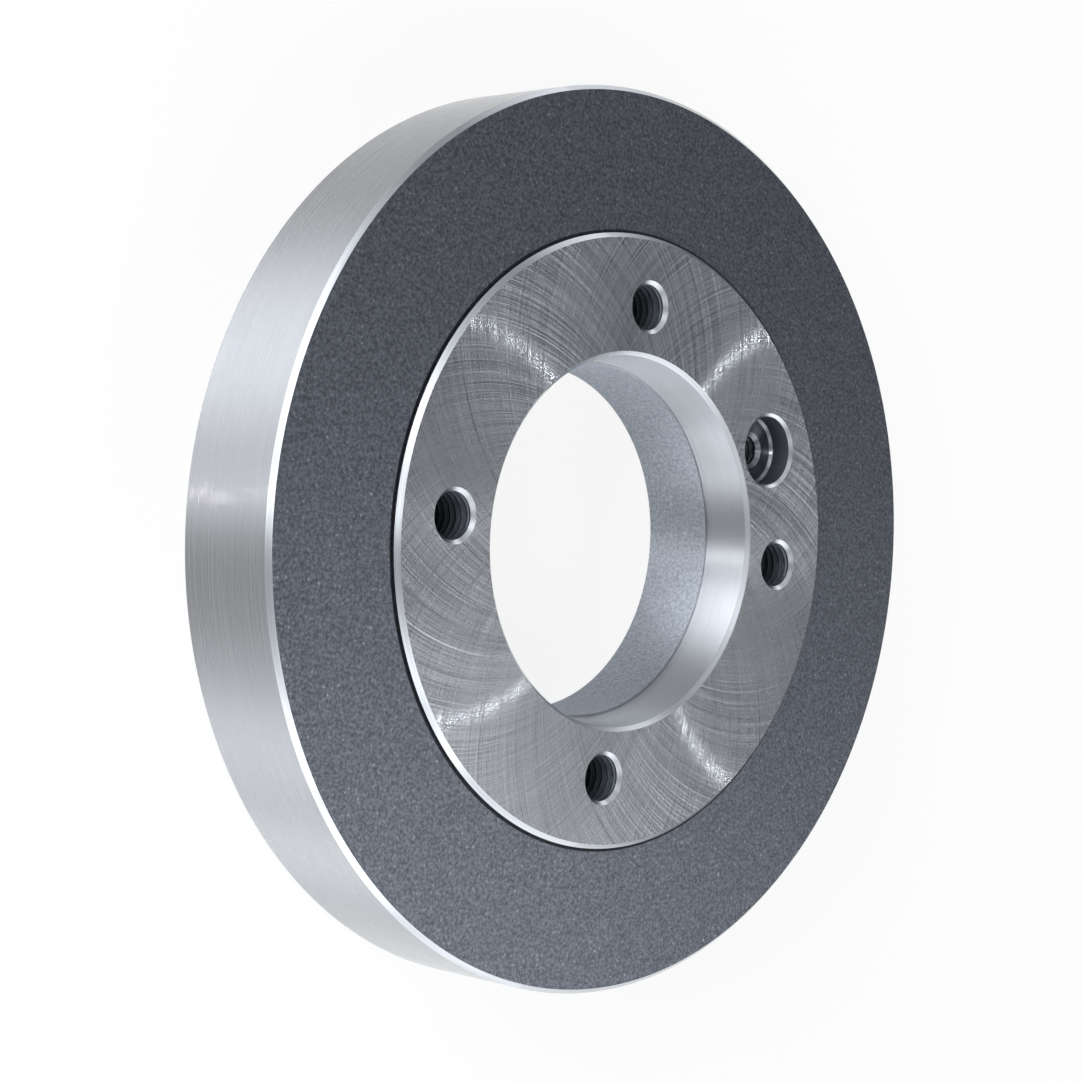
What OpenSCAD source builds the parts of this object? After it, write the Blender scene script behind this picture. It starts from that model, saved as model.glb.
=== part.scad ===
/* Semi-finished chuck adapter plate for a short-taper lathe spindle.
   A thick cast disc lies flat on its chuck-side face, with the spindle side up.
   The origin is the centre of the chuck-side face and +Z is the spindle axis.
   +X runs through the centre of one stud hole. All sizes are in millimetres. */

/* [Disc] */
// Outside diameter of the turned rim
outside_diameter = 200; // [170:1:250]
// Height of the cast ring above the chuck-side face
ring_height = 28.5; // [27:0.5:45]
// Bevel where the rim meets the cast ring
front_rim_chamfer = 1; // [0.4:0.1:3]
// Bevel where the rim meets the chuck-side face
back_rim_chamfer = 2; // [0.4:0.1:4]

/* [Spindle pad] */
// Diameter of the foot of the raised pad
pad_diameter = 136; // [132:0.5:160]
// How far the pad stands up from the cast ring
pad_height = 1.5; // [1.2:0.1:5]
// Bevel round the top edge of the pad
pad_edge_chamfer = 1; // [0.3:0.1:1]

/* [Centre opening] */
// Large diameter of the ground taper, taken at the pad's face
taper_diameter = 82.563; // [72:0.001:84]
// Length along the axis over which the taper loses one millimetre of diameter
taper_ratio = 4; // [3.5:0.5:10]
// Depth of the ground taper below the pad's face
taper_depth = 11.5; // [8:0.5:16]
// Bevel at the mouth of the taper
mouth_chamfer = 0.9; // [0.3:0.1:1.5]
// How far the rough bore stands in from the small end of the taper
bore_step = 0.6; // [0.2:0.1:4]
// Bevel where the rough bore meets the chuck-side face
bore_back_chamfer = 1; // [0.3:0.1:3]

/* [Stud holes] */
// Diameter of the circle on which the stud holes and the drive hole lie
hole_circle_diameter = 104.8; // [104:0.1:112]
// Number of stud holes
stud_hole_count = 4; // [3:1:5]
// Core diameter of a stud hole's thread
stud_core_diameter = 10.2; // [6.8:0.1:12.5]
// Depth of the full stud hole below the pad's face
stud_hole_depth = 24; // [15:0.5:24]
// Bevel at the mouth of a stud hole
stud_mouth_chamfer = 0.85; // [0.3:0.05:1.2]

/* [Drive hole] */
// Angle of the drive hole round the axis, counted from a stud hole
drive_hole_angle = 30; // [26:0.5:40]
// Diameter of the socket for the drive button
drive_socket_diameter = 16.1; // [13:0.1:17]
// Depth of the socket below the pad's face
drive_socket_depth = 6.2; // [4:0.1:10]
// Bevel at the mouth of the socket
drive_mouth_chamfer = 0.7; // [0.3:0.05:1]
// Bevel in the corner between the socket's wall and its floor
drive_floor_bevel = 0.6; // [0.2:0.05:1]
// Core diameter of the screw thread in the socket's floor
drive_screw_core_diameter = 6.8; // [4.2:0.1:8]
// Diameter of the screw hole's mouth on the socket's floor
drive_screw_mouth_diameter = 8.6; // [8.2:0.1:10]
// Depth of the full screw hole below the socket's floor
drive_screw_depth = 14; // [8:0.5:16]

/* [Hidden] */

outer_radius = outside_diameter / 2;
total_height = ring_height + pad_height;
pad_radius = pad_diameter / 2;
hole_circle_radius = hole_circle_diameter / 2;

// The ground taper, as radii at the pad's face, under its mouth bevel and at its small end
taper_slope = 1 / (2 * taper_ratio);
taper_face_radius = taper_diameter / 2;
taper_mouth_radius = taper_face_radius - mouth_chamfer * taper_slope;
mouth_radius = taper_mouth_radius + mouth_chamfer;
taper_end_radius = taper_face_radius - taper_depth * taper_slope;
taper_end_height = total_height - taper_depth;
rough_bore_radius = taper_end_radius - bore_step;

// Holes are cut this far past the face that they open through
cut_clearance = 1;
// Half the point angle that a twist drill leaves at the bottom of a blind hole
drill_half_angle = 59;
// Facets round the disc, and round a small hole
disc_facets = 240;
hole_facets = 72;

stud_core_radius = stud_core_diameter / 2;
stud_hole_pitch = 360 / stud_hole_count;

drive_socket_radius = drive_socket_diameter / 2;
drive_screw_core_radius = drive_screw_core_diameter / 2;
drive_screw_mouth_radius = drive_screw_mouth_diameter / 2;
drive_screw_chamfer = drive_screw_mouth_radius - drive_screw_core_radius;

// Height of the cone that a drill of the given radius leaves
function drill_point(radius) = radius / tan(drill_half_angle);

// Half section of the disc from its taper, rough bore and rim to its raised pad
module disc_section() {
    polygon([
        [rough_bore_radius + bore_back_chamfer, 0],
        [outer_radius - back_rim_chamfer, 0],
        [outer_radius, back_rim_chamfer],
        [outer_radius, ring_height - front_rim_chamfer],
        [outer_radius - front_rim_chamfer, ring_height],
        [pad_radius, ring_height],
        [pad_radius, total_height - pad_edge_chamfer],
        [pad_radius - pad_edge_chamfer, total_height],
        [mouth_radius, total_height],
        [taper_mouth_radius, total_height - mouth_chamfer],
        [taper_end_radius, taper_end_height],
        [rough_bore_radius, taper_end_height],
        [rough_bore_radius, bore_back_chamfer]
    ]);
}

// One blind stud hole, its mouth at the origin and its point downward
module stud_hole() {
    rotate_extrude($fn = hole_facets)
        polygon([
            [0, cut_clearance],
            [stud_core_radius + stud_mouth_chamfer + cut_clearance, cut_clearance],
            [stud_core_radius, -stud_mouth_chamfer],
            [stud_core_radius, -stud_hole_depth],
            [0, -stud_hole_depth - drill_point(stud_core_radius)]
        ]);
}

// The drive button's socket with its screw hole, its mouth at the origin
module drive_hole() {
    rotate_extrude($fn = hole_facets)
        polygon([
            [0, cut_clearance],
            [drive_socket_radius + drive_mouth_chamfer + cut_clearance, cut_clearance],
            [drive_socket_radius, -drive_mouth_chamfer],
            [drive_socket_radius, -drive_socket_depth + drive_floor_bevel],
            [drive_socket_radius - drive_floor_bevel, -drive_socket_depth],
            [drive_screw_mouth_radius, -drive_socket_depth],
            [drive_screw_core_radius, -drive_socket_depth - drive_screw_chamfer],
            [drive_screw_core_radius, -drive_socket_depth - drive_screw_depth],
            [0, -drive_socket_depth - drive_screw_depth - drill_point(drive_screw_core_radius)]
        ]);
}

module adapter_plate() {
    color([0.55, 0.57, 0.6])
        difference() {
            rotate_extrude($fn = disc_facets) disc_section();
            for (hole = [0 : stud_hole_count - 1])
                rotate([0, 0, hole * stud_hole_pitch])
                    translate([hole_circle_radius, 0, total_height])
                        stud_hole();
            rotate([0, 0, drive_hole_angle])
                translate([hole_circle_radius, 0, total_height])
                    drive_hole();
        }
}

adapter_plate();
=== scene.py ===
"""Semi-finished chuck adapter plate, dressed for its picture.

The plate lies flat with its spindle side up, in the frame of the CAD model.
Lengths are millimetres in the numbers below and metres in Blender.
"""
import math

import bmesh
import bpy
from mathutils import Matrix, Vector
from mathutils.geometry import delaunay_2d_cdt

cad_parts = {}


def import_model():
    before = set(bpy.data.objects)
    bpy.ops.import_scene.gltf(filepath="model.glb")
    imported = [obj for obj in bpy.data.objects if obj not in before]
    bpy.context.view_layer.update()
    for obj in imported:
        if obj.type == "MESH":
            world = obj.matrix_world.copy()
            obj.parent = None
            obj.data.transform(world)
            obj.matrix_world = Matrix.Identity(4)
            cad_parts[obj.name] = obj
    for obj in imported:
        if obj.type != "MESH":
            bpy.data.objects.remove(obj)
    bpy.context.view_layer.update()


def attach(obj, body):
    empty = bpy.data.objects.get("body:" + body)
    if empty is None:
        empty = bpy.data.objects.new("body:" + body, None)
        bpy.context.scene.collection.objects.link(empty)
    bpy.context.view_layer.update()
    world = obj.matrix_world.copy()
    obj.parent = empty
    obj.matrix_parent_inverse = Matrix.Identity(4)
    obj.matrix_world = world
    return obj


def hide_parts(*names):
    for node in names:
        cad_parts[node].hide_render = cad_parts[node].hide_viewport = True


MM = 0.001
TAU = 2 * math.pi

# Disc, pad and centre opening, as in the CAD model
OUTER_RADIUS = 100.0
RING_HEIGHT = 28.5
TOTAL_HEIGHT = 30.0
FRONT_RIM_CHAMFER = 1.0
BACK_RIM_CHAMFER = 2.0
PAD_RADIUS = 68.0
PAD_EDGE_CHAMFER = 1.0
# Width of the strip of ring round the pad's foot that is painted near-black, as painted shade where pad and
# ring meet
FOOT_SHADE_WIDTH = 0.7
TAPER_DIAMETER = 82.563
TAPER_RATIO = 4
TAPER_FACE_RADIUS = TAPER_DIAMETER / 2
TAPER_SLOPE = 1 / (2 * TAPER_RATIO)
TAPER_DEPTH = 11.5
BORE_STEP = 0.6
MOUTH_CHAMFER = 0.9
TAPER_MOUTH_RADIUS = TAPER_FACE_RADIUS - MOUTH_CHAMFER * TAPER_SLOPE
MOUTH_RADIUS = TAPER_MOUTH_RADIUS + MOUTH_CHAMFER
TAPER_END_RADIUS = TAPER_FACE_RADIUS - TAPER_DEPTH * TAPER_SLOPE
TAPER_END_HEIGHT = TOTAL_HEIGHT - TAPER_DEPTH
ROUGH_BORE_RADIUS = TAPER_END_RADIUS - BORE_STEP
BORE_BACK_CHAMFER = 1.0

# Stud holes, which end their thread some turns above the drill point
HOLE_CIRCLE_RADIUS = 52.4
STUD_HOLE_ANGLES = (0, 90, 180, 270)
STUD_CORE_RADIUS = 5.1
STUD_MOUTH_CHAMFER = 0.85
STUD_MOUTH_RADIUS = STUD_CORE_RADIUS + STUD_MOUTH_CHAMFER
STUD_HOLE_DEPTH = 24.0
STUD_THREAD_DEPTH = 20.0
STUD_PITCH = 1.75

# Drive hole: a socket with a screw hole in its floor
DRIVE_HOLE_ANGLE = 30
DRIVE_SOCKET_RADIUS = 8.05
DRIVE_MOUTH_CHAMFER = 0.7
DRIVE_MOUTH_RADIUS = DRIVE_SOCKET_RADIUS + DRIVE_MOUTH_CHAMFER
DRIVE_SOCKET_DEPTH = 6.2
DRIVE_FLOOR_HEIGHT = TOTAL_HEIGHT - DRIVE_SOCKET_DEPTH
DRIVE_FLOOR_BEVEL = 0.6
DRIVE_SCREW_MOUTH_RADIUS = 4.3
DRIVE_SCREW_CORE_RADIUS = 3.4
DRIVE_SCREW_ROOT_RADIUS = 4.0
DRIVE_SCREW_DEPTH = 14.0
DRIVE_SCREW_THREAD_DEPTH = 12.0
DRIVE_SCREW_PITCH = 1.25
DRILL_HALF_ANGLE = math.radians(59)

# Shares of a thread's pitch that its crest and each of its flanks take
THREAD_CREST = 0.28
THREAD_FLANK = 0.30
# Rows of facets to one turn of thread
ROWS_TO_A_TURN = 12
# Facets round the disc, round a stud hole and round the drive hole
DISC_FACETS = 480
STUD_FACETS = 64
DRIVE_FACETS = 96
# Faces that meet at more than this angle keep a sharp edge between them
SHARP_ANGLE = math.radians(24)
# Points of a flat face closer than this, in millimetres, are one point
WELD_DISTANCE = 1e-6

# Arcs that the cup wheel left on the pad: their radius and how far their centres lie from the axis
HATCH_RADIUS = 58.9
HATCH_OFFSET = 48.7
# Millimetres between arcs that pass one radian apart, square to the arcs
HATCH_SPREAD = 42.0
# Distance in the noise that keeps the two sets of arcs from being alike
HATCH_SHIFT = 40.0
# Levels of the noise, which lies close about one half, that stand for a groove's two sides
GROOVE_SIDES = (0.47, 0.53)
# Step in the noise over which a sharp groove turns into a worn one
WEAR_STEP = 0.03

# Levels of the noise at which a colour is darkest and lightest, on turned and on ground metal
TURNED_SHADES = (0.35, 0.65)
GROUND_SHADES = (0.3, 0.6)
# The same for cast skin: darkest, then light from one level to the next, then at its brightest
SKIN_SHADES = (0.36, 0.62, 0.66, 0.72)

# Roughness of a film of oil, which stays smooth over any cut
OIL_ROUGHNESS = 0.05
# The glint's way lies across the radial tangent, a quarter turn from it
QUARTER_TURN = 0.25


# Colour and nodes

def linear(hex_colour):
    """Turn an sRGB hex colour into linear red, green, blue and alpha."""
    values = [int(hex_colour[i:i + 2], 16) / 255 for i in (1, 3, 5)]
    return [v / 12.92 if v <= 0.04045 else ((v + 0.055) / 1.055) ** 2.4 for v in values] + [1.0]


def darker_and_lighter(hex_colour, contrast):
    """Return a colour a little darker and a little lighter than it is written."""
    red_green_blue = linear(hex_colour)[:3]
    dark = [value * (1 - contrast) for value in red_green_blue] + [1.0]
    light = [min(1.0, value * (1 + contrast)) for value in red_green_blue] + [1.0]
    return dark, light


def add_node(tree, kind, links=None, values=None, **settings):
    """Add a node with its settings, its socket values and its incoming links."""
    node = tree.nodes.new(kind)
    for name, value in settings.items():
        setattr(node, name, value)
    for key, value in (values or {}).items():
        node.inputs[key].default_value = value
    for key, source in (links or {}).items():
        tree.links.new(source, node.inputs[key])
    return node


def new_material(name):
    """Return an empty node material and its tree."""
    material = bpy.data.materials.new(name)
    material.use_nodes = True
    material.node_tree.nodes.clear()
    return material, material.node_tree


def fill_ramp(node, stops):
    """Give a colour ramp its stops, each a position and a grey level or a colour."""
    ramp = node.color_ramp
    while len(ramp.elements) > 1:
        ramp.elements.remove(ramp.elements[-1])
    for index, (position, value) in enumerate(stops):
        element = ramp.elements[0] if index == 0 else ramp.elements.new(position)
        element.position = position
        element.color = value if hasattr(value, "__len__") else (value, value, value, 1.0)


def to_world(tree, way):
    """Turn a direction on the plate into one in the world."""
    return add_node(tree, "ShaderNodeVectorTransform", {0: way}, vector_type="NORMAL",
                    convert_from="OBJECT", convert_to="WORLD").outputs[0]


def place_from(tree, axis):
    """Place of a point of the plate in millimetres, counted from an upright axis."""
    place = add_node(tree, "ShaderNodeTexCoord").outputs["Object"]
    place = add_node(tree, "ShaderNodeVectorMath", {0: place}, {3: 1 / MM}, operation="SCALE").outputs[0]
    return add_node(tree, "ShaderNodeVectorMath", {0: place}, {1: (*axis, 0.0)},
                    operation="SUBTRACT").outputs[0]


def round_axis(tree, axis=(0.0, 0.0)):
    """Way out from an upright axis to a point, its distance from the axis and its height."""
    split = add_node(tree, "ShaderNodeSeparateXYZ", {0: place_from(tree, axis)})
    outward = add_node(tree, "ShaderNodeCombineXYZ", {0: split.outputs[0], 1: split.outputs[1]}).outputs[0]
    radius = add_node(tree, "ShaderNodeVectorMath", {0: outward}, operation="LENGTH").outputs["Value"]
    return outward, radius, split.outputs[2]


def tool_marks(tree, across, outward, spacing, drift):
    """Noise drawn out along the cut: fine across the marks, slow round the plate."""
    fine = add_node(tree, "ShaderNodeMath", {0: across}, {1: 1 / spacing}, operation="MULTIPLY").outputs[0]
    slow = add_node(tree, "ShaderNodeVectorMath", {0: outward}, {3: 1 / drift}, operation="SCALE")
    split = add_node(tree, "ShaderNodeSeparateXYZ", {0: slow.outputs[0]})
    place = add_node(tree, "ShaderNodeCombineXYZ",
                     {0: fine, 1: split.outputs[0], 2: split.outputs[1]}).outputs[0]
    return add_node(tree, "ShaderNodeTexNoise", {"Vector": place},
                    {"Scale": 1.0, "Detail": 4.0, "Roughness": 0.6}).outputs[0]


# Finishes

def turned_metal(name, colour, roughness, stretch, across, spacing, drift, depth, contrast=0.1, oil=0.0,
                 oil_depth=0.0, axis=(0.0, 0.0)):
    """Bare metal cut in circles round an axis, which draws each glint out across the tool marks.

    The marks follow one another along the radius or the height, spacing apart, and change
    slowly over the drift. Depths and distances are millimetres.
    """
    material, tree = new_material(name)
    outward, radius, height = round_axis(tree, axis)
    on_face = across == "radius"
    marks = tool_marks(tree, radius if on_face else height, outward, spacing, drift)
    shade = add_node(tree, "ShaderNodeValToRGB", {0: marks})
    dark, light = darker_and_lighter(colour, contrast)
    fill_ramp(shade, zip(TURNED_SHADES, (dark, light)))
    cut, film = [add_node(tree, "ShaderNodeBump", {"Height": marks},
                          {"Strength": 1.0, "Distance": relief * MM}).outputs[0]
                 for relief in (depth, oil_depth)]
    if on_face:
        glint_way = to_world(tree, outward)
    else:
        glint_way = add_node(tree, "ShaderNodeTangent", direction_type="RADIAL", axis="Z").outputs[0]
    surface = add_node(tree, "ShaderNodeBsdfPrincipled",
                       {"Base Color": shade.outputs[0], "Normal": cut, "Tangent": glint_way,
                        "Coat Normal": film},
                       {"Metallic": 1.0, "Roughness": roughness, "Anisotropic": stretch,
                        "Anisotropic Rotation": 0.0 if on_face else QUARTER_TURN,
                        "Coat Weight": oil, "Coat Roughness": OIL_ROUGHNESS})
    add_node(tree, "ShaderNodeOutputMaterial", {"Surface": surface.outputs[0]})
    return material


def arc_angle(tree, radius):
    """Angle at the axis between a point of the pad and the middle of the grinding arc through it."""
    square = add_node(tree, "ShaderNodeMath", {0: radius, 1: radius}, operation="MULTIPLY").outputs[0]
    top = add_node(tree, "ShaderNodeMath", {0: square}, {1: HATCH_OFFSET ** 2 - HATCH_RADIUS ** 2},
                   operation="ADD").outputs[0]
    under = add_node(tree, "ShaderNodeMath", {0: radius}, {1: 2 * HATCH_OFFSET},
                     operation="MULTIPLY").outputs[0]
    ratio = add_node(tree, "ShaderNodeMath", {0: top, 1: under}, operation="DIVIDE").outputs[0]
    return add_node(tree, "ShaderNodeMath", {0: ratio}, operation="ARCCOSINE").outputs[0]


def ground_arcs(tree, outward, radius, spacing, drift):
    """Two crossing sets of grinding arcs.

    Returns the way across the deeper arc at a point, a noise for the slope of its groove,
    a noise for how sharp it is and its depth.
    """
    angle = arc_angle(tree, radius)
    straight_out = add_node(tree, "ShaderNodeVectorMath", {0: outward}, operation="NORMALIZE").outputs[0]
    along = add_node(tree, "ShaderNodeMath", {0: radius}, {1: 1 / drift}, operation="MULTIPLY").outputs[0]
    along = add_node(tree, "ShaderNodeCombineXYZ", {2: along}).outputs[0]
    ways, grooves = [], []
    for side in (1, -1):
        turn = add_node(tree, "ShaderNodeMath", {0: angle}, {1: side}, operation="MULTIPLY").outputs[0]
        middle = add_node(tree, "ShaderNodeVectorRotate", {"Vector": straight_out, "Angle": turn},
                          rotation_type="Z_AXIS").outputs[0]
        ways.append(add_node(tree, "ShaderNodeVectorMath", {0: middle, 2: outward},
                             {1: (-HATCH_OFFSET,) * 3}, operation="MULTIPLY_ADD").outputs[0])
        place = add_node(tree, "ShaderNodeVectorMath", {0: middle, 2: along},
                         {1: (HATCH_SPREAD / spacing,) * 3}, operation="MULTIPLY_ADD").outputs[0]
        place = add_node(tree, "ShaderNodeVectorMath", {0: place}, {1: (0.0, 0.0, HATCH_SHIFT * side)},
                         operation="ADD").outputs[0]
        noise = add_node(tree, "ShaderNodeTexNoise", {"Vector": place},
                         {"Scale": 1.0, "Detail": 5.0, "Roughness": 0.75})
        grooves.append(add_node(tree, "ShaderNodeSeparateColor", {0: noise.outputs["Color"]}).outputs)
    first, second = grooves
    second_cuts = add_node(tree, "ShaderNodeMath", {0: second[0], 1: first[0]},
                           operation="LESS_THAN").outputs[0]
    way = add_node(tree, "ShaderNodeMix", {0: second_cuts, 4: ways[0], 5: ways[1]},
                   data_type="VECTOR").outputs[1]
    slope = add_node(tree, "ShaderNodeMix", {0: second_cuts, 2: first[1], 3: second[1]},
                     data_type="FLOAT").outputs[0]
    wear = add_node(tree, "ShaderNodeMix", {0: second_cuts, 2: first[2], 3: second[2]},
                    data_type="FLOAT").outputs[0]
    depth = add_node(tree, "ShaderNodeMath", {0: first[0], 1: second[0]}, operation="MINIMUM").outputs[0]
    return way, slope, wear, depth


def cup_ground_metal(name, colour, groove_roughness, worn_roughness, spacing, drift, flank, share,
                     contrast, oil):
    """Metal faced by a cup wheel: crossing arcs of fine grooves, each bright where its slope faces a lamp.

    About the given share of the grooves is sharp, with sides as steep as the flank, and the
    rest is worn and keeps the round glint of a turned face. Oil fills the grooves.
    """
    material, tree = new_material(name)
    outward, radius, _ = round_axis(tree)
    way, slope, wear, depth = ground_arcs(tree, outward, radius, spacing, drift)
    shade = add_node(tree, "ShaderNodeValToRGB", {0: depth})
    dark, light = darker_and_lighter(colour, contrast)
    fill_ramp(shade, zip(GROUND_SHADES, (dark, light)))
    sharp = add_node(tree, "ShaderNodeMapRange", {0: wear},
                     {1: share, 2: share + WEAR_STEP, 3: 1.0, 4: 0.0}).outputs[0]
    # The way across an arc is as long as the arc's radius, so the slope is divided by it
    steepest = flank / HATCH_RADIUS
    lean = add_node(tree, "ShaderNodeMapRange", {0: slope},
                    {1: GROOVE_SIDES[0], 2: GROOVE_SIDES[1], 3: -steepest, 4: steepest}).outputs[0]
    lean = add_node(tree, "ShaderNodeMath", {0: lean, 1: sharp}, operation="MULTIPLY").outputs[0]
    lean = add_node(tree, "ShaderNodeVectorMath", {0: way, 3: lean}, operation="SCALE").outputs[0]
    upright = add_node(tree, "ShaderNodeTexCoord").outputs["Normal"]
    facing = add_node(tree, "ShaderNodeVectorMath", {0: upright, 1: lean}, operation="ADD").outputs[0]
    across = add_node(tree, "ShaderNodeMix", {0: sharp, 4: outward, 5: way}, data_type="VECTOR").outputs[1]
    roughness = add_node(tree, "ShaderNodeMapRange", {0: sharp},
                         {3: worn_roughness, 4: groove_roughness}).outputs[0]
    surface = add_node(tree, "ShaderNodeBsdfPrincipled",
                       {"Base Color": shade.outputs[0], "Normal": to_world(tree, facing),
                        "Tangent": to_world(tree, across), "Roughness": roughness},
                       {"Metallic": 1.0, "Anisotropic": 1.0, "Coat Weight": oil,
                        "Coat Roughness": OIL_ROUGHNESS})
    add_node(tree, "ShaderNodeOutputMaterial", {"Surface": surface.outputs[0]})
    return material


def cast_skin(name, dark, light, tip, roughness, metallic, grain, depth, stretch=0.0):
    """Metal as it left the sand mould: a pebbled skin, paler on the pebbles, with a few bright tips."""
    material, tree = new_material(name)
    pebbles = add_node(tree, "ShaderNodeTexNoise", {"Vector": place_from(tree, (0.0, 0.0))},
                       {"Scale": 1 / grain, "Detail": 4.0, "Roughness": 0.65}).outputs[0]
    shade = add_node(tree, "ShaderNodeValToRGB", {0: pebbles})
    fill_ramp(shade, zip(SKIN_SHADES, map(linear, (dark, light, light, tip))))
    bump = add_node(tree, "ShaderNodeBump", {"Height": pebbles}, {"Strength": 1.0, "Distance": depth * MM})
    tangent = add_node(tree, "ShaderNodeTangent", direction_type="RADIAL", axis="Z")
    surface = add_node(tree, "ShaderNodeBsdfPrincipled",
                       {"Base Color": shade.outputs[0], "Normal": bump.outputs[0],
                        "Tangent": tangent.outputs[0]},
                       {"Metallic": metallic, "Roughness": roughness, "Anisotropic": stretch,
                        "Anisotropic Rotation": QUARTER_TURN})
    add_node(tree, "ShaderNodeOutputMaterial", {"Surface": surface.outputs[0]})
    return material


def plate_finishes():
    """One finish for each kind of surface, all of them grey cast iron that was cut or left as cast.

    Real feed marks and grinding lines are 0.05 to 0.2 mm wide, which is too fine to show, so
    they are drawn as coarse as the spacing says.
    """
    drive_hole = on_hole_circle(DRIVE_HOLE_ANGLE)
    return {
        # Fine feed marks run round the rim, so light stands up the rim in soft bands, and the
        # oil left on it adds a thin bright line
        "rim": turned_metal("turned iron rim", "#9c9fa4", roughness=0.50, stretch=1.0, across="height",
                            spacing=0.5, drift=40.0, depth=0.10, contrast=0.03, oil=1.0, oil_depth=0.8),
        # Turned iron like the rim but lighter in colour: a painted highlight that makes each chamfer
        # brighter than the faces that it joins
        "bevel": turned_metal("turned iron bevel with painted highlight", "#b2b6bb", roughness=0.36, stretch=0.6,
                              across="radius", spacing=0.4, drift=30.0, depth=0.02, oil=1.0),
        # Crossing grinding arcs turn a lamp overhead into four curved streaks, set with fine glints
        "pad": cup_ground_metal("faced iron pad", "#a2a6ac", groove_roughness=0.23, worn_roughness=0.42,
                                spacing=0.09, drift=60.0, flank=0.54, share=0.51, contrast=0.02, oil=1.0),
        # Ground smoother than the rim: clear bright and dark bands stand up the wall
        "taper": turned_metal("ground iron taper", "#b9bdc3", roughness=0.48, stretch=1.0,
                              across="height", spacing=0.5, drift=40.0, depth=0.06, contrast=0.03,
                              oil=1.0, oil_depth=0.6),
        # Blackened by the mould: dark and matt, with grains that catch the light
        "cast_ring": cast_skin("cast iron ring skin", "#555961", "#7e838c", "#ccd0d8", roughness=0.34,
                               metallic=0.9, grain=0.7, depth=0.04),
        # Painted shade where the pad meets the ring: a near-black line on the pad's foot and the ring next
        # to it, which sets the pad off from the ring
        "painted_shade_pad_foot": cast_skin("iron pad foot with painted shade", "#26282d", "#3a3d44", "#3a3d44", roughness=0.50,
                              metallic=0.9, grain=0.8, depth=0.02),
        # Cast skin in paler greys than the ring's: sparkling, with broad soft bands
        "cast_bore": cast_skin("cast iron bore skin", "#959ba4", "#b3b9c2", "#d2d6dc", roughness=0.55,
                               metallic=1.0, grain=0.7, depth=0.03, stretch=0.9),
        # Coarse facing cuts in rings, with a fan-shaped glint
        "chuck_face": turned_metal("faced iron chuck side", "#9ca0a6", roughness=0.40, stretch=1.0,
                                   across="radius", spacing=0.8, drift=25.0, depth=0.12, oil=1.0),
        # Cut thread, darker than the plate's iron: painted shade inside the stud holes and on the socket's
        # wall, with only dull crests
        "hole": turned_metal("tapped iron hole with painted shade", "#5f646c", roughness=0.60, stretch=0.0,
                             across="height", spacing=0.3, drift=10.0, depth=0.0),
        # Countersunk after tapping, lighter in colour than the plate's iron: a painted highlight on each
        # hole's chamfer, seen as a bright crescent round each hole
        "hole_edge_painted_light": turned_metal("countersunk iron edge with painted highlight", "#b2b6bb", roughness=0.30, stretch=0.0,
                                  across="height", spacing=0.2, drift=10.0, depth=0.0, oil=1.0),
        # Darker than the plate's iron as painted shade, though lighter than the stud holes' thread: its
        # crests shine a little
        "socket_thread_painted_dark": turned_metal("tapped iron screw hole with painted shade", "#6a6e74", roughness=0.36, stretch=0.8,
                                      across="radius", spacing=0.3, drift=10.0, depth=0.0,
                                      axis=drive_hole),
        # Bored flat, painted darker than the socket's edge as painted shade: a dim glint that turns round
        # the screw hole
        "socket_floor_painted_dark": turned_metal("bored iron socket floor with painted shade", "#5e6268", roughness=0.40, stretch=1.0,
                                     across="radius", spacing=0.5, drift=10.0, depth=0.02,
                                     axis=drive_hole),
        # Freshly cut corner, painted lighter than the socket floor as a painted highlight: a fine bright
        # ring
        "socket_edge_painted_light": turned_metal("bored iron socket edge with painted highlight", "#a4a8ae", roughness=0.34, stretch=1.0,
                                    across="radius", spacing=0.5, drift=10.0, depth=0.02,
                                    axis=drive_hole),
    }


# The plate's mesh

class PlateMesh:
    """Gathers welded points and faces, each face with the number of its finish."""

    def __init__(self):
        self.points = []
        self.faces = []
        self.finishes = []

    def ring(self, centre, radii, height):
        """Add a ring of points, one for each radius, and return their numbers."""
        start = len(self.points)
        for index, radius in enumerate(radii):
            angle = TAU * index / len(radii)
            self.points.append((centre[0] + radius * math.cos(angle),
                                centre[1] + radius * math.sin(angle), height))
        return list(range(start, len(self.points)))

    def band(self, first, second, finish):
        """Join two rings of equal length with a band of faces."""
        for index in range(len(first)):
            after = (index + 1) % len(first)
            self.faces.append((first[index], first[after], second[after], second[index]))
            self.finishes.append(finish)

    def stepped(self, centre, facets, steps, number):
        """Join rings given as radius, height and the finish of the band that ends there."""
        rings = [self.ring(centre, [radius] * facets, height) for radius, height, _ in steps]
        for before, after, (_, _, finish) in zip(rings, rings[1:], steps[1:]):
            self.band(before, after, number[finish])
        return rings

    def cone(self, ring, tip, finish):
        """Close a ring with a cone down to one point."""
        self.points.append(tip)
        apex = len(self.points) - 1
        for index in range(len(ring)):
            self.faces.append((ring[index], ring[(index + 1) % len(ring)], apex))
            self.finishes.append(finish)


def thread_radius(core, root, pitch, angle, depth):
    """Radius of an internal thread's wall at an angle and a depth."""
    turn = (depth / pitch - angle / TAU) % 1.0
    if turn < THREAD_CREST:
        rise = 0.0
    elif turn < THREAD_CREST + THREAD_FLANK:
        rise = (turn - THREAD_CREST) / THREAD_FLANK
    elif turn < 1.0 - THREAD_FLANK:
        rise = 1.0
    else:
        rise = (1.0 - turn) / THREAD_FLANK
    return core + (root - core) * rise


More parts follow.
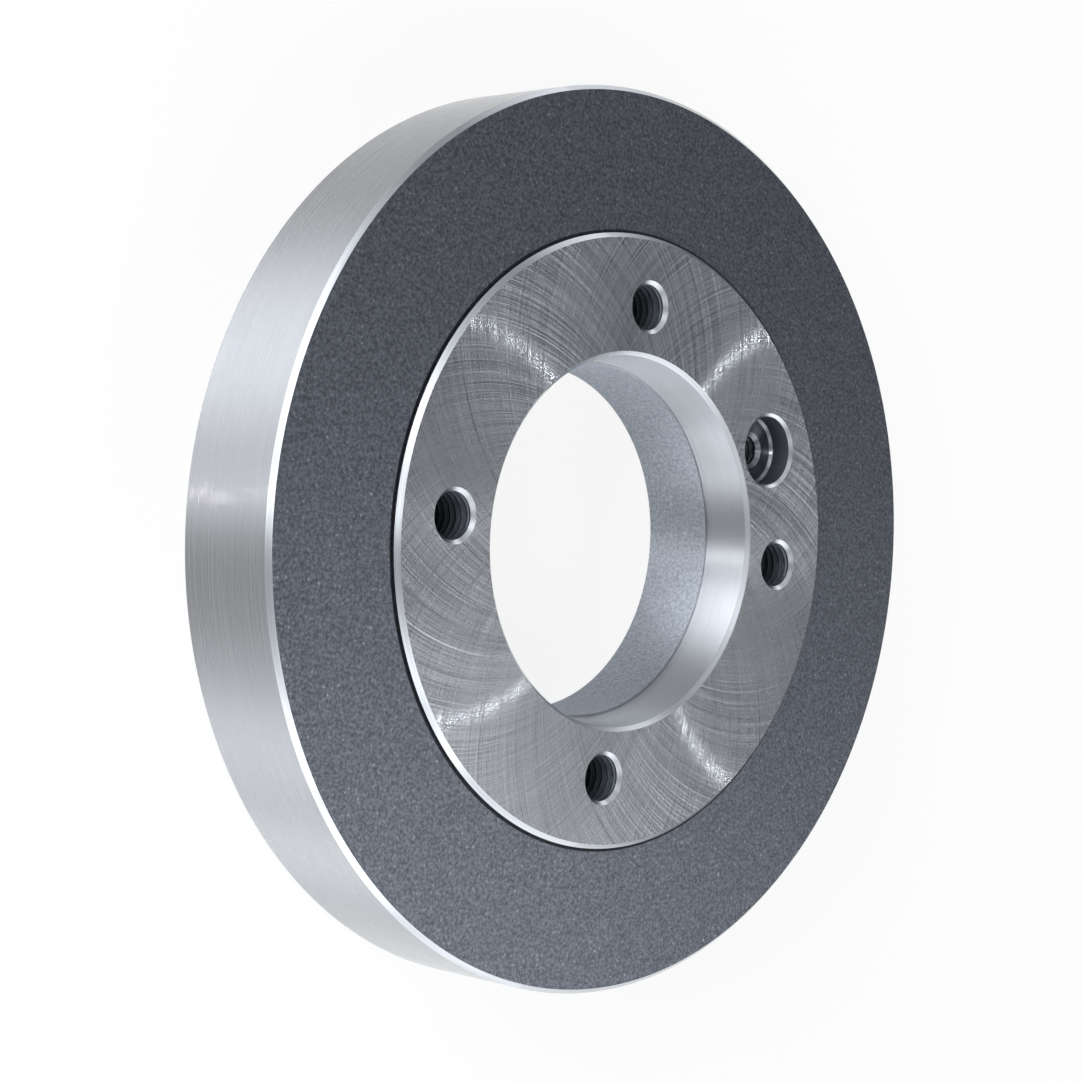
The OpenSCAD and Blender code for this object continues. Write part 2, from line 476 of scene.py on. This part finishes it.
def threaded_wall(mesh, centre, top_ring, top, mouth, core, root, pitch, thread_depth, depth, edge, finish):
    """Cut a bevelled, threaded blind hole down from the ring round its mouth."""
    facets = len(top_ring)
    step = pitch / ROWS_TO_A_TURN
    bevel = mouth - core
    previous = mesh.ring(centre, [core] * facets, top - bevel)
    mesh.band(top_ring, previous, edge)
    rows = int((thread_depth - bevel) / step)
    for row in range(1, rows + 1):
        down = bevel + row * step
        # The thread grows out of the wall over its first turn and dies into it over its last
        ease = min(1.0, row * step / pitch, (rows - row) * step / pitch)
        radii = [core + ease * (thread_radius(core, root, pitch, TAU * k / facets, down) - core)
                 for k in range(facets)]
        ring = mesh.ring(centre, radii, top - down)
        mesh.band(previous, ring, finish)
        previous = ring
    bottom = mesh.ring(centre, [core] * facets, top - depth)
    mesh.band(previous, bottom, finish)
    mesh.cone(bottom, (centre[0], centre[1], top - depth - core / math.tan(DRILL_HALF_ANGLE)), finish)


def on_hole_circle(degrees):
    """Centre of a hole on the hole circle."""
    angle = math.radians(degrees)
    return (HOLE_CIRCLE_RADIUS * math.cos(angle), HOLE_CIRCLE_RADIUS * math.sin(angle))


def fill_face(mesh, loops, inside, finish):
    """Fill a flat face between loops of points, leaving out what isn't inside."""
    numbers = [number for loop in loops for number in loop]
    flat = [Vector(mesh.points[number][:2]) for number in numbers]
    edges = []
    start = 0
    for loop in loops:
        edges += [(start + k, start + (k + 1) % len(loop)) for k in range(len(loop))]
        start += len(loop)
    places, _, triangles, origins, _, _ = delaunay_2d_cdt(flat, edges, [], 0, WELD_DISTANCE)
    for triangle in triangles:
        middle = sum((places[k] for k in triangle), Vector((0, 0))) / 3
        if inside(middle):
            mesh.faces.append(tuple(numbers[origins[k][0]] for k in triangle))
            mesh.finishes.append(finish)


def build_body(mesh, number):
    """Add the disc's turned outline and return its first and last rings, on the pad's face."""
    # Half section from the pad's outer edge round the rim and back to the mouth of the taper
    rings = mesh.stepped((0.0, 0.0), DISC_FACETS, [
        (PAD_RADIUS - PAD_EDGE_CHAMFER, TOTAL_HEIGHT, None),
        (PAD_RADIUS, TOTAL_HEIGHT - PAD_EDGE_CHAMFER, "bevel"),
        # The pad's foot wall and the strip of ring round it are painted near-black, as painted shade
        (PAD_RADIUS, RING_HEIGHT, "painted_shade_pad_foot"),
        (PAD_RADIUS + FOOT_SHADE_WIDTH, RING_HEIGHT, "painted_shade_pad_foot"),
        (OUTER_RADIUS - FRONT_RIM_CHAMFER, RING_HEIGHT, "cast_ring"),
        (OUTER_RADIUS, RING_HEIGHT - FRONT_RIM_CHAMFER, "bevel"),
        (OUTER_RADIUS, BACK_RIM_CHAMFER, "rim"),
        (OUTER_RADIUS - BACK_RIM_CHAMFER, 0.0, "bevel"),
        (ROUGH_BORE_RADIUS + BORE_BACK_CHAMFER, 0.0, "chuck_face"),
        (ROUGH_BORE_RADIUS, BORE_BACK_CHAMFER, "bevel"),
        (ROUGH_BORE_RADIUS, TAPER_END_HEIGHT, "cast_bore"),
        (TAPER_END_RADIUS, TAPER_END_HEIGHT, "bevel"),
        (TAPER_MOUTH_RADIUS, TOTAL_HEIGHT - MOUTH_CHAMFER, "taper"),
        (MOUTH_RADIUS, TOTAL_HEIGHT, "bevel"),
    ], number)
    return rings[0], rings[-1]


def build_holes(mesh, number):
    """Add the walls of all five holes and return the mouth ring, centre and mouth radius of each."""
    holes = []
    for angle in STUD_HOLE_ANGLES:
        place = on_hole_circle(angle)
        # Each stud hole's chamfer is painted light and its thread dark, as painted highlight and painted
        # shade
        mouth = mesh.ring(place, [STUD_MOUTH_RADIUS] * STUD_FACETS, TOTAL_HEIGHT)
        threaded_wall(mesh, place, mouth, TOTAL_HEIGHT, STUD_MOUTH_RADIUS, STUD_CORE_RADIUS,
                      STUD_MOUTH_RADIUS, STUD_PITCH, STUD_THREAD_DEPTH, STUD_HOLE_DEPTH,
                      number["hole_edge_painted_light"], number["hole"])
        holes.append((mouth, place, STUD_MOUTH_RADIUS))

    place = on_hole_circle(DRIVE_HOLE_ANGLE)
    # The socket's chamfers are painted light and its wall and floor dark, as painted highlight and painted
    # shade
    wall = mesh.stepped(place, DRIVE_FACETS, [
        (DRIVE_MOUTH_RADIUS, TOTAL_HEIGHT, None),
        (DRIVE_SOCKET_RADIUS, TOTAL_HEIGHT - DRIVE_MOUTH_CHAMFER, "hole_edge_painted_light"),
        (DRIVE_SOCKET_RADIUS, DRIVE_FLOOR_HEIGHT + DRIVE_FLOOR_BEVEL, "hole"),
        (DRIVE_SOCKET_RADIUS - DRIVE_FLOOR_BEVEL, DRIVE_FLOOR_HEIGHT, "socket_edge_painted_light"),
        (DRIVE_SCREW_MOUTH_RADIUS, DRIVE_FLOOR_HEIGHT, "socket_floor_painted_dark"),
    ], number)
    threaded_wall(mesh, place, wall[-1], DRIVE_FLOOR_HEIGHT, DRIVE_SCREW_MOUTH_RADIUS,
                  DRIVE_SCREW_CORE_RADIUS, DRIVE_SCREW_ROOT_RADIUS, DRIVE_SCREW_PITCH,
                  DRIVE_SCREW_THREAD_DEPTH, DRIVE_SCREW_DEPTH,
                  number["socket_edge_painted_light"], number["socket_thread_painted_dark"])
    holes.append((wall[0], place, DRIVE_MOUTH_RADIUS))
    return holes


def build_plate(finishes):
    """Make the plate as one closed mesh and return its object."""
    number = {name: index for index, name in enumerate(finishes)}
    mesh = PlateMesh()
    pad_edge, taper_mouth = build_body(mesh, number)
    holes = build_holes(mesh, number)

    def on_pad(point):
        if not MOUTH_RADIUS < point.length < PAD_RADIUS:
            return False
        return all((point - Vector(middle)).length > radius for _, middle, radius in holes)

    fill_face(mesh, [pad_edge, taper_mouth] + [mouth for mouth, _, _ in holes], on_pad, number["pad"])

    data = bpy.data.meshes.new("adapter_plate_body")
    data.from_pydata([[value * MM for value in point] for point in mesh.points], [], mesh.faces)
    for material in finishes.values():
        data.materials.append(material)
    data.polygons.foreach_set("material_index", mesh.finishes)
    data.validate()
    settle_normals(data)
    plate = bpy.data.objects.new("adapter_plate_body", data)
    bpy.context.scene.collection.objects.link(plate)
    return plate


def settle_normals(data):
    """Turn every face outward, then smooth all but the real edges."""
    work = bmesh.new()
    work.from_mesh(data)
    bmesh.ops.recalc_face_normals(work, faces=work.faces)
    open_edges = [edge for edge in work.edges if len(edge.link_faces) != 2]
    if open_edges:
        raise RuntimeError("the plate's mesh is open at %d edges" % len(open_edges))
    work.to_mesh(data)
    work.free()
    data.shade_smooth()
    data.set_sharp_from_angle(angle=SHARP_ANGLE)


# Studio

# Where the photograph was taken from, found from the plate's circles, in millimetres
CAMERA_PLACE = (-403.56, -27.36, 406.51)
CAMERA_AIM = (0.7067, 0.04622, -0.7060)
CAMERA_UP = (-0.10343, 0.99389, -0.03846)
CAMERA_LENS = 83.06
CAMERA_SENSOR = 36.0
CAMERA_NEAR_CLIP = 10

# Half width of the floor
FLOOR_REACH = 8000
# Gap that keeps the floor from touching the plate's face
FLOOR_GAP = 0.1
# Share of the floor's look that is its own white, which leaves the rest to the plate's shadow
FLOOR_GLOW = 0.85

# Small far lamps that draw the bright streaks: name, azimuth, elevation, distance, size and power
GLINT_LAMPS = [("ceiling_lamp", 161.4, 83.9, 5000, 50, 23.0), ("side_lamp", 178.5, 25.0, 1500, 30, 4.0)]
# The same for two small dim lamps close to the plate
TABLE_LAMPS = [("left_table_lamp", 225, 20, 300, 80, 0.065), ("right_table_lamp", 250, 20, 300, 80, 0.065)]

# Level of the faint even light that the room itself gives
SKY_FILL = 0.05
# Soft panels round the plate, chosen from the outcome of a fit to the photograph's light.
# A tier has its lowest elevation and its panels, each with the azimuth of its middle, its half
# width in degrees and its level
PANEL_TIERS = [
    # Low panels down to the floor: the first two draw the broad bands on the rim and in the taper
    (-90, [(146, 21, 10.6), (241, 25, 4.9), (305, 28, 2.2), (61, 14, 2.3)]),
    # Panels above them, which carry those bands into the rough bore and lift the pad
    (20, [(151, 18, 4.2), (228, 20, 1.7), (300, 30, 1.7), (97, 22, 1.0), (37, 9, 0.8)]),
    # High panels: the second and the third give the pad and the cast ring most of their grey
    (40, [(213, 24, 1.1), (288, 18, 2.3), (338, 22, 2.9), (72, 45, 0.5)]),
    # Nothing but the room's own light above them
    (55, []),
]
# Degrees over which a panel fades out at its sides, and over which one tier fades into the next
SIDE_FADE = 30
TIER_FADE = 12
# Degrees between the stops of a tier's ramp
RAMP_STEP = 12


def light_studio():
    """Light the plate with a sky of soft panels, small table lamps and the lamps that draw the streaks."""
    world = bpy.data.worlds.new("studio")
    bpy.context.scene.world = world
    world.use_nodes = True
    world.node_tree.nodes.clear()
    fill_sky(world.node_tree)
    for lamp in TABLE_LAMPS + GLINT_LAMPS:
        studio_lamp(*lamp)


def fill_sky(tree):
    """Build the sky, tier by tier from the lowest."""
    way = add_node(tree, "ShaderNodeTexCoord").outputs["Generated"]
    split = add_node(tree, "ShaderNodeSeparateXYZ", {0: way}).outputs
    turn = add_node(tree, "ShaderNodeMath", {0: split[1], 1: split[0]}, operation="ARCTAN2").outputs[0]
    turn = add_node(tree, "ShaderNodeMath", {0: turn}, {1: 1 / TAU}, operation="MULTIPLY").outputs[0]
    turn = add_node(tree, "ShaderNodeMath", {0: turn}, {1: 1.0}, operation="ADD").outputs[0]
    turn = add_node(tree, "ShaderNodeMath", {0: turn}, operation="FRACT").outputs[0]
    elevation = add_node(tree, "ShaderNodeMath", {0: split[2]}, operation="ARCSINE").outputs[0]
    elevation = add_node(tree, "ShaderNodeMath", {0: elevation}, operation="DEGREES").outputs[0]
    level = tier_of_panels(tree, turn, PANEL_TIERS[0][1])
    for low, panels in PANEL_TIERS[1:]:
        share = add_node(tree, "ShaderNodeMapRange", {0: elevation},
                         {1: low - TIER_FADE / 2, 2: low + TIER_FADE / 2, 3: 0.0, 4: 1.0}).outputs[0]
        level = add_node(tree, "ShaderNodeMix", {0: share, 2: level, 3: tier_of_panels(tree, turn, panels)},
                         data_type="FLOAT").outputs[0]
    sky = add_node(tree, "ShaderNodeBackground", {"Strength": level}, {"Color": linear("#fcfdff")})
    add_node(tree, "ShaderNodeOutputWorld", {"Surface": sky.outputs[0]})


def tier_of_panels(tree, turn, panels):
    """Level of one tier, from a ramp once round the plate."""
    levels = [panel_light(panels, azimuth) for azimuth in range(0, 361, RAMP_STEP)]
    # A ramp holds values up to one, so the levels are divided by the highest
    highest = max(levels)
    ramp = add_node(tree, "ShaderNodeValToRGB", {0: turn})
    fill_ramp(ramp, [(index * RAMP_STEP / 360, level / highest) for index, level in enumerate(levels)])
    return add_node(tree, "ShaderNodeMath", {0: ramp.outputs[0]}, {1: highest},
                    operation="MULTIPLY").outputs[0]


def panel_light(panels, azimuth):
    """Level that the panels of a tier and the room's own light give at an azimuth."""
    total = SKY_FILL
    for middle, half_width, level in panels:
        away = abs((azimuth - middle + 180) % 360 - 180)
        inside = min(1.0, max(0.0, (half_width + SIDE_FADE / 2 - away) / SIDE_FADE))
        total += level * inside ** 2 * (3 - 2 * inside)
    return total


def studio_lamp(name, azimuth, elevation, distance, size, power):
    """Square lamp aimed at the plate's centre, with distance and size in millimetres."""
    around, up = math.radians(azimuth), math.radians(elevation)
    way = Vector((math.cos(up) * math.cos(around), math.cos(up) * math.sin(around), math.sin(up)))
    lamp = bpy.data.lights.new(name, "AREA")
    lamp.shape = "SQUARE"
    lamp.size = size * MM
    lamp.energy = power
    item = bpy.data.objects.new(name, lamp)
    item.location = way * distance * MM
    item.rotation_euler = way.to_track_quat("Z", "Y").to_euler()
    bpy.context.scene.collection.objects.link(item)


def lay_floor():
    """Large white floor, which stays white round the plate and keeps its shadow."""
    reach = FLOOR_REACH * MM
    corners = [(-reach, -reach, 0), (reach, -reach, 0), (reach, reach, 0), (-reach, reach, 0)]
    data = bpy.data.meshes.new("studio_floor")
    data.from_pydata(corners, [], [(0, 1, 2, 3)])
    floor = bpy.data.objects.new("studio_floor", data)
    floor.location.z = -FLOOR_GAP * MM
    bpy.context.scene.collection.objects.link(floor)
    material, tree = new_material("white paper backdrop")
    paper = add_node(tree, "ShaderNodeBsdfDiffuse", values={"Color": linear("#f4f5f6")})
    glow = add_node(tree, "ShaderNodeEmission", values={"Color": linear("#ffffff"), "Strength": 1.0})
    path = add_node(tree, "ShaderNodeLightPath").outputs
    seen = add_node(tree, "ShaderNodeMath", {0: path["Is Camera Ray"], 1: path["Is Glossy Ray"]},
                    operation="MAXIMUM").outputs[0]
    seen = add_node(tree, "ShaderNodeMath", {0: seen, 1: path["Is Transmission Ray"]},
                    operation="MAXIMUM").outputs[0]
    share = add_node(tree, "ShaderNodeMath", {0: seen}, {1: FLOOR_GLOW}, operation="MULTIPLY").outputs[0]
    mixed = add_node(tree, "ShaderNodeMixShader", {0: share, 1: paper.outputs[0], 2: glow.outputs[0]})
    add_node(tree, "ShaderNodeOutputMaterial", {"Surface": mixed.outputs[0]})
    data.materials.append(material)


def place_camera():
    """Put the camera where the photograph was taken from."""
    back = -Vector(CAMERA_AIM).normalized()
    right = Vector(CAMERA_UP).cross(back).normalized()
    up = back.cross(right)
    camera = bpy.data.cameras.new("photo_camera")
    camera.lens = CAMERA_LENS
    camera.sensor_width = CAMERA_SENSOR
    camera.clip_start = CAMERA_NEAR_CLIP * MM
    item = bpy.data.objects.new("photo_camera", camera)
    turn = Matrix((right, up, back)).transposed().to_4x4()
    item.matrix_world = Matrix.Translation(Vector(CAMERA_PLACE) * MM) @ turn
    bpy.context.scene.collection.objects.link(item)
    bpy.context.scene.camera = item


def main():
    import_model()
    plate = build_plate(plate_finishes())
    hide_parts("adapter_plate")
    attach(plate, "root")
    lay_floor()
    light_studio()
    place_camera()
    bpy.context.scene.view_settings.view_transform = "Standard"


main()
